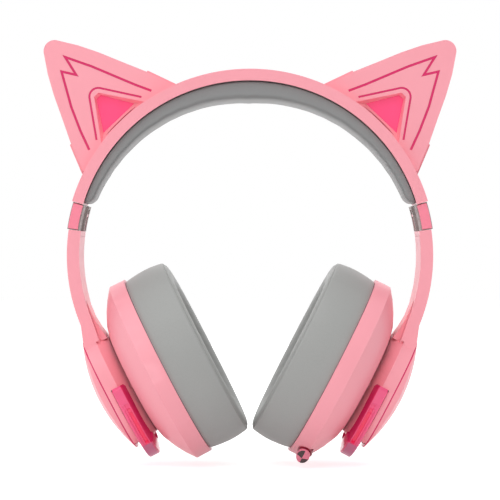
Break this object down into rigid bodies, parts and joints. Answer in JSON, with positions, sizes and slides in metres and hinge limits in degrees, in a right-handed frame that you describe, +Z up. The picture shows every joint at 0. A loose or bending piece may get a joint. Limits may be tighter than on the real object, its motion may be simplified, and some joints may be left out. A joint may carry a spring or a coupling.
{
  "type": "gaming headset",
  "caption": "Over-ear headset with a slim arched headband, cat ears with lit lines, two leaning oval cups on a size slider and gimbal, and a pull-out microphone.",
  "frame": {"origin": "lowest point of the headband pad's crown, where the headset rests on a head or a hook", "axes": "+Z up, -Y the way the wearer faces, +X the wearer's left"},
  "size_m": [0.1938, 0.0788, 0.1986],
  "materials": {
    "shell_pink": "satin moulded",
    "trim_pink": "satin moulded",
    "line_magenta": "lit from behind",
    "lens_pink": "translucent, lit from behind",
    "pad_grey": "soft leatherette",
    "cushion_grey": "soft leatherette",
    "liner_grey": "fine texture",
    "steel": "satin",
    "black_plastic": "matte",
    "speaker_cloth": "fine woven",
    "circuit_board": "lacquered",
    "guide_red": "gloss",
    "battery_wrap": "wrapped"
  },
  "bodies": {
    "headband": {"headband_shell": "shell_pink", "headband_liner": "liner_grey", "headband_spring": "steel", "headband_pad": "pad_grey", "headband_screws": "steel", "left_ear_front": "shell_pink", "left_ear_back": "shell_pink", "left_ear_base": "shell_pink", "left_ear_lens": "lens_pink", "left_ear_lines": "line_magenta", "left_ear_board": "circuit_board", "right_ear_front": "shell_pink", "right_ear_back": "shell_pink", "right_ear_base": "shell_pink", "right_ear_lens": "lens_pink", "right_ear_lines": "line_magenta", "right_ear_board": "circuit_board"},
    "left_arm": {"left_slider_strip": "steel", "left_hinge_block": "liner_grey", "left_hinge_trim": "trim_pink", "left_fold_pin": "black_plastic", "left_arm_shell": "shell_pink", "left_arm_cover": "shell_pink", "left_cap_dome": "shell_pink", "left_accent_line": "line_magenta", "left_light_module": "lens_pink", "left_light_board": "circuit_board"},
    "left_gimbal": {"left_gimbal_block": "steel", "left_gimbal_pins": "steel"},
    "left_cup": {"left_cup_shell": "shell_pink", "left_baffle": "black_plastic", "left_driver": "steel", "left_ear_cushion": "cushion_grey", "left_speaker_cloth": "speaker_cloth", "main_board": "circuit_board", "mic_guide": "guide_red", "usb_port": "steel", "audio_jack": "black_plastic"},
    "right_arm": {"right_slider_strip": "steel", "right_hinge_block": "liner_grey", "right_hinge_trim": "trim_pink", "right_fold_pin": "black_plastic", "right_arm_shell": "shell_pink", "right_arm_cover": "shell_pink", "right_cap_dome": "shell_pink", "right_accent_line": "line_magenta", "right_light_module": "lens_pink", "right_light_board": "circuit_board"},
    "right_gimbal": {"right_gimbal_block": "steel", "right_gimbal_pins": "steel"},
    "right_cup": {"right_cup_shell": "shell_pink", "right_baffle": "black_plastic", "right_driver": "steel", "right_ear_cushion": "cushion_grey", "right_speaker_cloth": "speaker_cloth", "battery": "battery_wrap"},
    "power_button": {"power_button": "trim_pink"},
    "mode_button": {"mode_button": "trim_pink"},
    "volume_rocker": {"volume_rocker": "trim_pink"},
    "microphone": {"mic_boom": "trim_pink"}
  },
  "joints": [
    {"name": "left_slider", "type": "slide", "parent": "headband", "child": "left_arm", "axis": [0.4307, 0, -0.9025], "range_m": [0, 0.018]},
    {"name": "left_tilt", "type": "hinge", "parent": "left_arm", "child": "left_gimbal", "pos_m": [0.05525, 0, -0.13304], "axis": [0, -1, 0], "range_deg": [-1, 4]},
    {"name": "left_swivel", "type": "hinge", "parent": "left_gimbal", "child": "left_cup", "pos_m": [0.05009, 0, -0.13038], "axis": [-0.4586, 0, -0.8886], "range_deg": [-4, 4]},
    {"name": "right_slider", "type": "slide", "parent": "headband", "child": "right_arm", "axis": [-0.4307, 0, -0.9025], "range_m": [0, 0.018]},
    {"name": "right_tilt", "type": "hinge", "parent": "right_arm", "child": "right_gimbal", "pos_m": [-0.05525, 0, -0.13304], "axis": [0, 1, 0], "range_deg": [-1, 4]},
    {"name": "right_swivel", "type": "hinge", "parent": "right_gimbal", "child": "right_cup", "pos_m": [-0.05009, 0, -0.13038], "axis": [0.4586, 0, -0.8886], "range_deg": [-4, 4]},
    {"name": "mic_slide", "type": "slide", "parent": "left_cup", "child": "microphone", "axis": [-0.3668, -0.6004, -0.7106], "range_m": [0, 0.03]},
    {"name": "power_button_press", "type": "slide", "parent": "left_cup", "child": "power_button", "axis": [0, -1, 0], "range_m": [0, 0.0008], "stiffness_N_per_m": 800},
    {"name": "mode_button_press", "type": "slide", "parent": "left_cup", "child": "mode_button", "axis": [0, -1, 0], "range_m": [0, 0.0008], "stiffness_N_per_m": 800},
    {"name": "volume_rock", "type": "hinge", "parent": "left_cup", "child": "volume_rocker", "pos_m": [0.04382, 0.0349, -0.12444], "axis": [0.8886, 0, -0.4586], "range_deg": [-4, 4], "stiffness_Nm_per_rad": 0.05}
  ]
}
